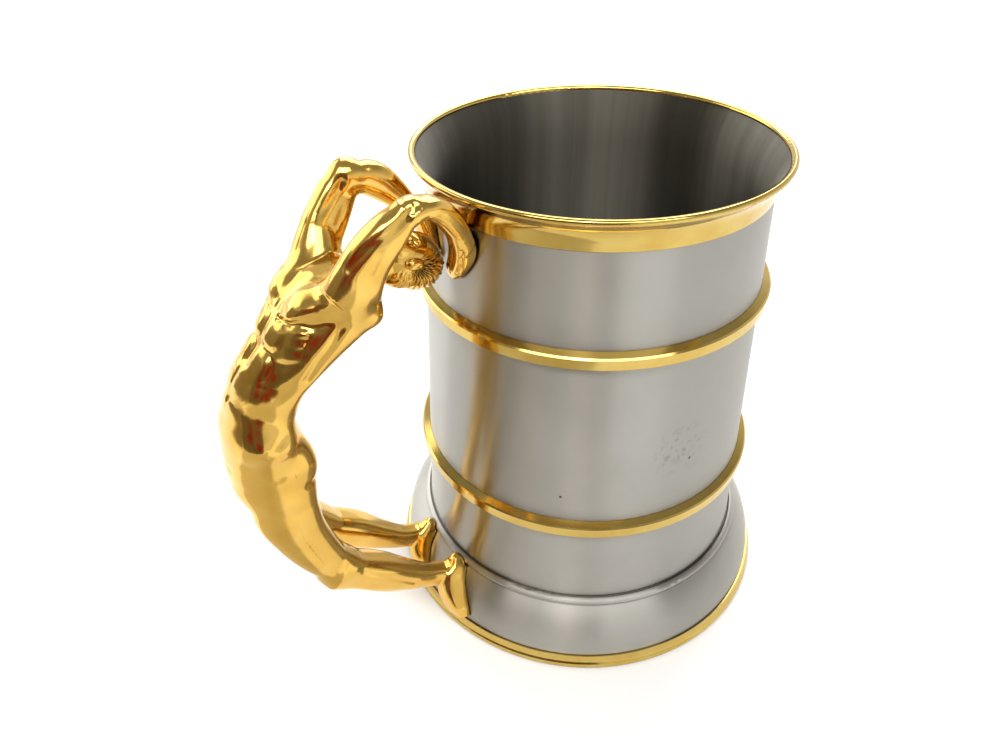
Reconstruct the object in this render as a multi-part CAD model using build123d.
from build123d import *
import os

# A half-litre pewter tankard with gilt rings and a gilt figure as its handle.
# Frame: origin on the ground at the drum's axis, +Z up, the handle towards -X,
# mirror-symmetric about the XZ plane. Everything is in millimetres.

# --- Drum, rim and floor ------------------------------------------------------
RIM_TOP = 120.6            # highest point of the gilt rim above the ground
RIM_RADIUS = 41.7
MOUTH_RADIUS = 40.0        # clear radius at the rim
FLARE_TOP = 119.6          # where the drum's flared mouth ends, under the gilt rim
FLARE_START = 108.0        # where the inside of the wall starts to open out
LIP_FOOT = 113.1           # height of the lip band's lower edge
LIP_REBATE = 0.4           # step that the lip band's lower edge sits in
LIP_RISE = 0.15            # how far the band's lower edge stands out from the drum
DRUM_RADIUS_TOP = 38.5     # outside, just under the lip band
DRUM_RADIUS_FOOT = 43.9    # outside, at the top of the skirt
DRUM_BOTTOM = 10.0
WALL = 1.6
EDGE = 0.7                 # thickness of the wall where it meets the rim
FLOOR_THICKNESS = 2.2
FLOOR_SEAT = 0.7           # depth of the rebate that holds the floor disc

# --- Hoops --------------------------------------------------------------------
UPPER_HOOP = (88.2, 91.8)  # lower and upper edge
LOWER_HOOP = (41.2, 44.9)
HOOP_RISE = 1.9            # how far a hoop stands out from the drum
HOOP_SLOPE = 0.6           # how far its top edge falls from the drum to the face
HOOP_ROUND = 0.35          # softening of the face's two edges

# --- Foot ---------------------------------------------------------------------
SKIRT_TOP = 18.4           # height at which the drum disappears into the skirt
BEAD_RADIUS = 45.9         # bead at the top of the skirt
BEAD_HEIGHT = 17.5
SKIRT_NECK = (45.4, 16.7)  # groove under the bead, where the skirt starts
SKIRT_WAIST = (49.35, 12.0)
SKIRT_FOOT = (51.5, 3.9)   # where the foot ring starts
SKIRT_THICKNESS = 1.7
SKIRT_HUB = 13.4           # height at which the skirt's inside meets the drum
RING_RADIUS = 53.0
RING_SEAT = 1.6            # height of the ledge that carries the skirt
RING_INNER = 48.8

# --- Figure -------------------------------------------------------------------
# Each station is (distance out from the axis, sideways, height, depth, width):
# the centre of an oval cross-section and its full size, front to back and across.
TORSO = (
    (84.4, 0, 55.5, 5, 5),          # crotch
    (84.8, 0, 59.5, 14, 17),
    (84.6, 0, 67.0, 17.8, 21.5),    # hips
    (85.0, 0, 76.0, 15.8, 19),      # waist
    (82.9, 0, 84.2, 14.4, 17.6),
    (77.0, 0, 92.0, 15.4, 19.2),    # lower ribs
    (69.6, 0, 98.8, 17, 22),        # chest
    (64.2, 0, 105.0, 14, 20),       # shoulders
    (60.4, 0, 108.6, 6, 8),         # root of the neck
)
BACK_MUSCLE = (
    (80.8, 5.6, 86.9, 5, 5),
    (77.2, 6.9, 92.3, 8, 7.6),
    (71.0, 7.6, 97.2, 9.4, 8.4),
    (64.7, 7.8, 101.2, 9.4, 8.4),
    (60.8, 8.4, 105.5, 6, 6),
)
CHEST_MUSCLE = (
    (75.0, 2.2, 101.8, 4, 4),
    (73.0, 5.2, 102.6, 7.4, 7),
    (68.4, 7.6, 103.6, 8.4, 7),
    (65.4, 9.8, 107.4, 7, 6),
)
NECK = (
    (66.0, 0, 105.5, 9, 9),
    (59.5, 0, 107.0, 8, 8.4),
    (52.5, 0, 107.0, 8, 8.4),
)
UPPER_ARM = (
    (65.6, 8.0, 103.5, 9.5, 8),
    (62.8, 9.8, 108.6, 10, 8.6),
    (58.2, 11.0, 115.2, 8.8, 7.8),
    (54.2, 12.0, 120.2, 7.2, 6.6),
)
FOREARM = (
    (54.2, 12.0, 120.4, 7, 6.6),
    (49.8, 11.6, 118.8, 7.2, 6.6),
    (45.4, 10.8, 115.6, 6.2, 5.8),
    (42.4, 9.8, 112.2, 5, 5.4),
)
HAND = (
    (42.7, 9.8, 112.8, 4.6, 5),
    (41.0, 9.0, 109.2, 5, 6.4),
    (40.4, 7.6, 105.4, 4.4, 6.4),
    (40.6, 6.0, 102.2, 3, 4.6),
)
THIGH = (
    (84.0, 5.0, 69.0, 12, 9),
    (84.4, 5.8, 60.5, 15.4, 12),
    (83.4, 6.6, 50.0, 12.8, 11.6),
    (80.0, 7.5, 41.0, 10.8, 10.2),
    (77.4, 8.0, 36.0, 9.6, 9.4),
)
SHANK = (
    (78.2, 8.0, 36.8, 9, 9),
    (73.6, 8.1, 33.6, 10.4, 9.6),
    (67.4, 8.2, 28.6, 10.6, 9.8),
    (60.4, 8.0, 21.9, 7.6, 7.4),
    (55.0, 7.8, 17.2, 6.2, 6.0),
    (49.5, 8.2, 14.2, 6.2, 6),
)
FOOT = (
    (46.8, 6.4, 18.8, 3, 3.6),
    (47.8, 7.6, 16.4, 5.8, 5.4),
    (49.6, 10.2, 12.4, 7.2, 6.6),
    (50.6, 13.4, 8.0, 5.0, 6.8),
    (50.4, 15.8, 4.6, 2.8, 4.6),
)
SHOULDER = (63.8, 9.0, 106.8, 5.3)   # out, sideways, height, radius
ELBOW = (54.0, 12.0, 120.4, 3.75)
KNEE = (78.0, 8.0, 36.4, 4.8)
LIMBS = (BACK_MUSCLE, CHEST_MUSCLE, UPPER_ARM, FOREARM, HAND, THIGH, SHANK, FOOT)
JOINTS = (SHOULDER, ELBOW, KNEE)
HEAD_CENTRE = (48.4, 106.0)          # out, height
HEAD_LENGTH = 16.0                   # crown to chin
HEAD_BREADTH = 12.6
HEAD_TILT = 14.0                     # degrees that the crown drops below level


def drum_radius(height):
    """Outside radius of the tapered drum."""
    run = (height - SKIRT_TOP) / (LIP_FOOT - SKIRT_TOP)
    return DRUM_RADIUS_FOOT + run * (DRUM_RADIUS_TOP - DRUM_RADIUS_FOOT)


# Corners, as (radius, height), that two neighbouring pieces share
FLARE_OUT = (MOUTH_RADIUS + EDGE, FLARE_TOP)
FLARE_WAIST = (38.75, 116.6)
FLARE_IN = (MOUTH_RADIUS, FLARE_TOP)
NECK_OUT = (DRUM_RADIUS_TOP - LIP_REBATE, LIP_FOOT)
SEAT_TOP = DRUM_BOTTOM + FLOOR_THICKNESS
SEAT_RADIUS = drum_radius(SEAT_TOP) - WALL + FLOOR_SEAT
SKIRT_LEDGE = (SKIRT_FOOT[0], RING_SEAT)
RING_LIP = (SKIRT_FOOT[0] + 0.5, SKIRT_FOOT[1])
RING_COVE = (52.3, 2.4)
RING_WAIST = (RING_RADIUS - 0.2, 1.6)
RING_BELLY = (RING_RADIUS, 0.9)
RING_FOOT = (RING_RADIUS - 0.3, 0)
BEAD_TOP = (drum_radius(SKIRT_TOP) + 0.25, SKIRT_TOP)


def turned(*edges):
    """Solid of revolution about Z from a closed outline in the XZ plane."""
    return revolve(make_face(Wire(list(edges))), Axis.Z)


def outline(*corners):
    """Straight edges through (radius, height) corners, in the XZ plane."""
    points = [Vector(radius, 0, height) for radius, height in corners]
    return [Line(a, b) for a, b in zip(points, points[1:])]


def curve(start, middle, end):
    """Arc through three (radius, height) points, in the XZ plane."""
    return ThreePointArc(*[Vector(radius, 0, height) for radius, height in (start, middle, end)])


def make_drum_wall():
    """Tapered wall with a flared mouth, a rebate for the lip and a seat for the floor."""
    inside_foot = (drum_radius(SEAT_TOP) - WALL, SEAT_TOP)
    inside_top = (drum_radius(FLARE_START) - WALL, FLARE_START)
    wall_line = Vector(inside_top[0] - inside_foot[0], 0, inside_top[1] - inside_foot[1])
    mouth = TangentArc(Vector(inside_top[0], 0, inside_top[1]), Vector(FLARE_IN[0], 0, FLARE_IN[1]),
                       tangent=wall_line)
    return turned(
        *outline(inside_top, inside_foot, (SEAT_RADIUS, SEAT_TOP), (SEAT_RADIUS, DRUM_BOTTOM),
                 (drum_radius(DRUM_BOTTOM), DRUM_BOTTOM), (DRUM_RADIUS_TOP, LIP_FOOT), NECK_OUT),
        curve(NECK_OUT, FLARE_WAIST, FLARE_OUT),
        *outline(FLARE_OUT, FLARE_IN),
        mouth,
    )


def make_floor_disc():
    """Floor of the drum, let into the seat at the foot of the wall."""
    base = (Align.CENTER, Align.CENTER, Align.MIN)
    return Pos(0, 0, DRUM_BOTTOM) * Cylinder(SEAT_RADIUS, FLOOR_THICKNESS, align=base)


def make_lip_band():
    """Gilt rim: a round bead over the mouth, a cove below it and a plain lower edge."""
    band_foot = (DRUM_RADIUS_TOP + LIP_RISE, LIP_FOOT)
    band_top = (39.0, 115.1)
    cove_top = (40.9, 119.1)
    bead_low = (41.3, 119.3)
    bead_side = (RIM_RADIUS, 119.9)
    bead_top = (MOUTH_RADIUS + 0.85, RIM_TOP)
    brim = (MOUTH_RADIUS + 0.15, RIM_TOP - 0.35)
    return turned(
        *outline(NECK_OUT, band_foot, band_top),
        curve(band_top, (39.6, 117.3), cove_top),
        *outline(cove_top, bead_low),
        curve(bead_low, bead_side, bead_top),
        curve(bead_top, brim, FLARE_IN),
        *outline(FLARE_IN, FLARE_OUT),
        curve(FLARE_OUT, FLARE_WAIST, NECK_OUT),
    )


def make_hoop(low, high):
    """Gilt hoop: a nearly level top edge over a taller, upright face."""
    face = drum_radius(low) + HOOP_RISE
    shoulder = high - HOOP_SLOPE
    return turned(*outline(
        (drum_radius(low), low), (face - HOOP_ROUND, low), (face, low + HOOP_ROUND),
        (face, shoulder - HOOP_ROUND), (face - HOOP_ROUND, shoulder),
        (drum_radius(high), high), (drum_radius(low), low),
    ))


def skirt_curve():
    """Outside curve of the skirt, from the groove under the bead to the foot ring."""
    return curve(SKIRT_NECK, SKIRT_WAIST, SKIRT_FOOT)


def bead_edges():
    """Bead along the top of the skirt, from the drum to the groove below it."""
    crest = (BEAD_RADIUS, BEAD_HEIGHT)
    return [curve(BEAD_TOP, (BEAD_RADIUS - 0.25, SKIRT_TOP - 0.3), crest), *outline(crest, SKIRT_NECK)]


def make_foot_skirt():
    """Flared skirt round the foot of the drum, with a bead along its top edge."""
    inner_seat = (SKIRT_FOOT[0] - SKIRT_THICKNESS, RING_SEAT)
    inner_foot = (SKIRT_FOOT[0] - SKIRT_THICKNESS, SKIRT_FOOT[1])
    inner_waist = (SKIRT_WAIST[0] - 1.3, SKIRT_WAIST[1] - 1.4)
    hub = (drum_radius(SKIRT_HUB), SKIRT_HUB)
    return turned(
        *outline(hub, (drum_radius(SKIRT_TOP), SKIRT_TOP), BEAD_TOP),
        *bead_edges(),
        skirt_curve(),
        *outline(SKIRT_FOOT, SKIRT_LEDGE, inner_seat, inner_foot),
        curve(inner_foot, inner_waist, hub),
    )


def ring_edges():
    """Outside of the foot ring, from the skirt down to the ground."""
    return [*outline(SKIRT_FOOT, RING_LIP), curve(RING_LIP, RING_COVE, RING_WAIST),
            curve(RING_WAIST, RING_BELLY, RING_FOOT)]


def make_foot_ring():
    """Gilt ring that the tankard stands on, with a ledge for the skirt."""
    return turned(
        *outline(SKIRT_LEDGE, SKIRT_FOOT),
        *ring_edges(),
        *outline(RING_FOOT, (RING_INNER, 0), (RING_INNER, RING_SEAT), SKIRT_LEDGE),
    )


def place(out, sideways, height, side):
    return Vector(-out, side * sideways, height)


def limb(stations, side=1):
    """Smooth body through oval cross-sections set square to the line of their centres."""
    centres = [place(out, sideways, height, side) for out, sideways, height, _, _ in stations]
    faces = []
    for index, (_, _, _, depth, width) in enumerate(stations):
        before = centres[max(index - 1, 0)]
        after = centres[min(index + 1, len(centres) - 1)]
        along = (after - before).normalized()
        across = (Vector(0, 1, 0) - along * along.Y).normalized()
        plane = Plane(centres[index], x_dir=across, z_dir=along)
        faces.append(plane * Ellipse(width / 2, depth / 2))
    return loft(faces)


def ball(joint, side):
    out, sideways, height, radius = joint
    return Pos(place(out, sideways, height, side)) * Sphere(radius)


def make_head():
    """Plain egg-shaped head lying back, its crown towards the drum."""
    half = HEAD_LENGTH / 2
    profile = make_face(Wire([
        Line((0, 0, -half), (0, 0, half)),
        Spline((0, 0, half), (HEAD_BREADTH / 2, 0, half * 0.25), (HEAD_BREADTH * 0.42, 0, -half * 0.45),
               (0, 0, -half), tangents=((1, 0, 0), (-1, 0, 0))),
    ]))
    egg = revolve(profile, Axis.Z)
    out, height = HEAD_CENTRE
    return Pos(-out, 0, height) * Rot(0, 90 + HEAD_TILT, 0) * egg


def make_tankard_core():
    """Everything inside the outer surface of drum and foot, to trim palms and soles."""
    return turned(
        *outline((0, LIP_FOOT), (DRUM_RADIUS_TOP, LIP_FOOT), (drum_radius(SKIRT_TOP), SKIRT_TOP), BEAD_TOP),
        *bead_edges(),
        skirt_curve(),
        *ring_edges(),
        *outline(RING_FOOT, (0, 0), (0, LIP_FOOT)),
    )


def make_figure_handle():
    """One casting: arched figure, palms on the drum and soles on the skirt."""
    pieces = [limb(NECK), make_head()]
    for side in (-1, 1):
        pieces += [limb(stations, side) for stations in LIMBS]
        pieces += [ball(joint, side) for joint in JOINTS]
    figure = limb(TORSO)
    for piece in pieces:
        figure = figure + piece
    return figure - make_tankard_core()


def main():
    os.makedirs("parts", exist_ok=True)
    nodes = {
        "drum_wall": make_drum_wall(),
        "floor_disc": make_floor_disc(),
        "lip_band": make_lip_band(),
        "upper_hoop": make_hoop(*UPPER_HOOP),
        "lower_hoop": make_hoop(*LOWER_HOOP),
        "foot_skirt": make_foot_skirt(),
        "foot_ring": make_foot_ring(),
        "figure_handle": make_figure_handle(),
    }
    for name, shape in nodes.items():
        export_step(shape, f"parts/{name}.step")


main()
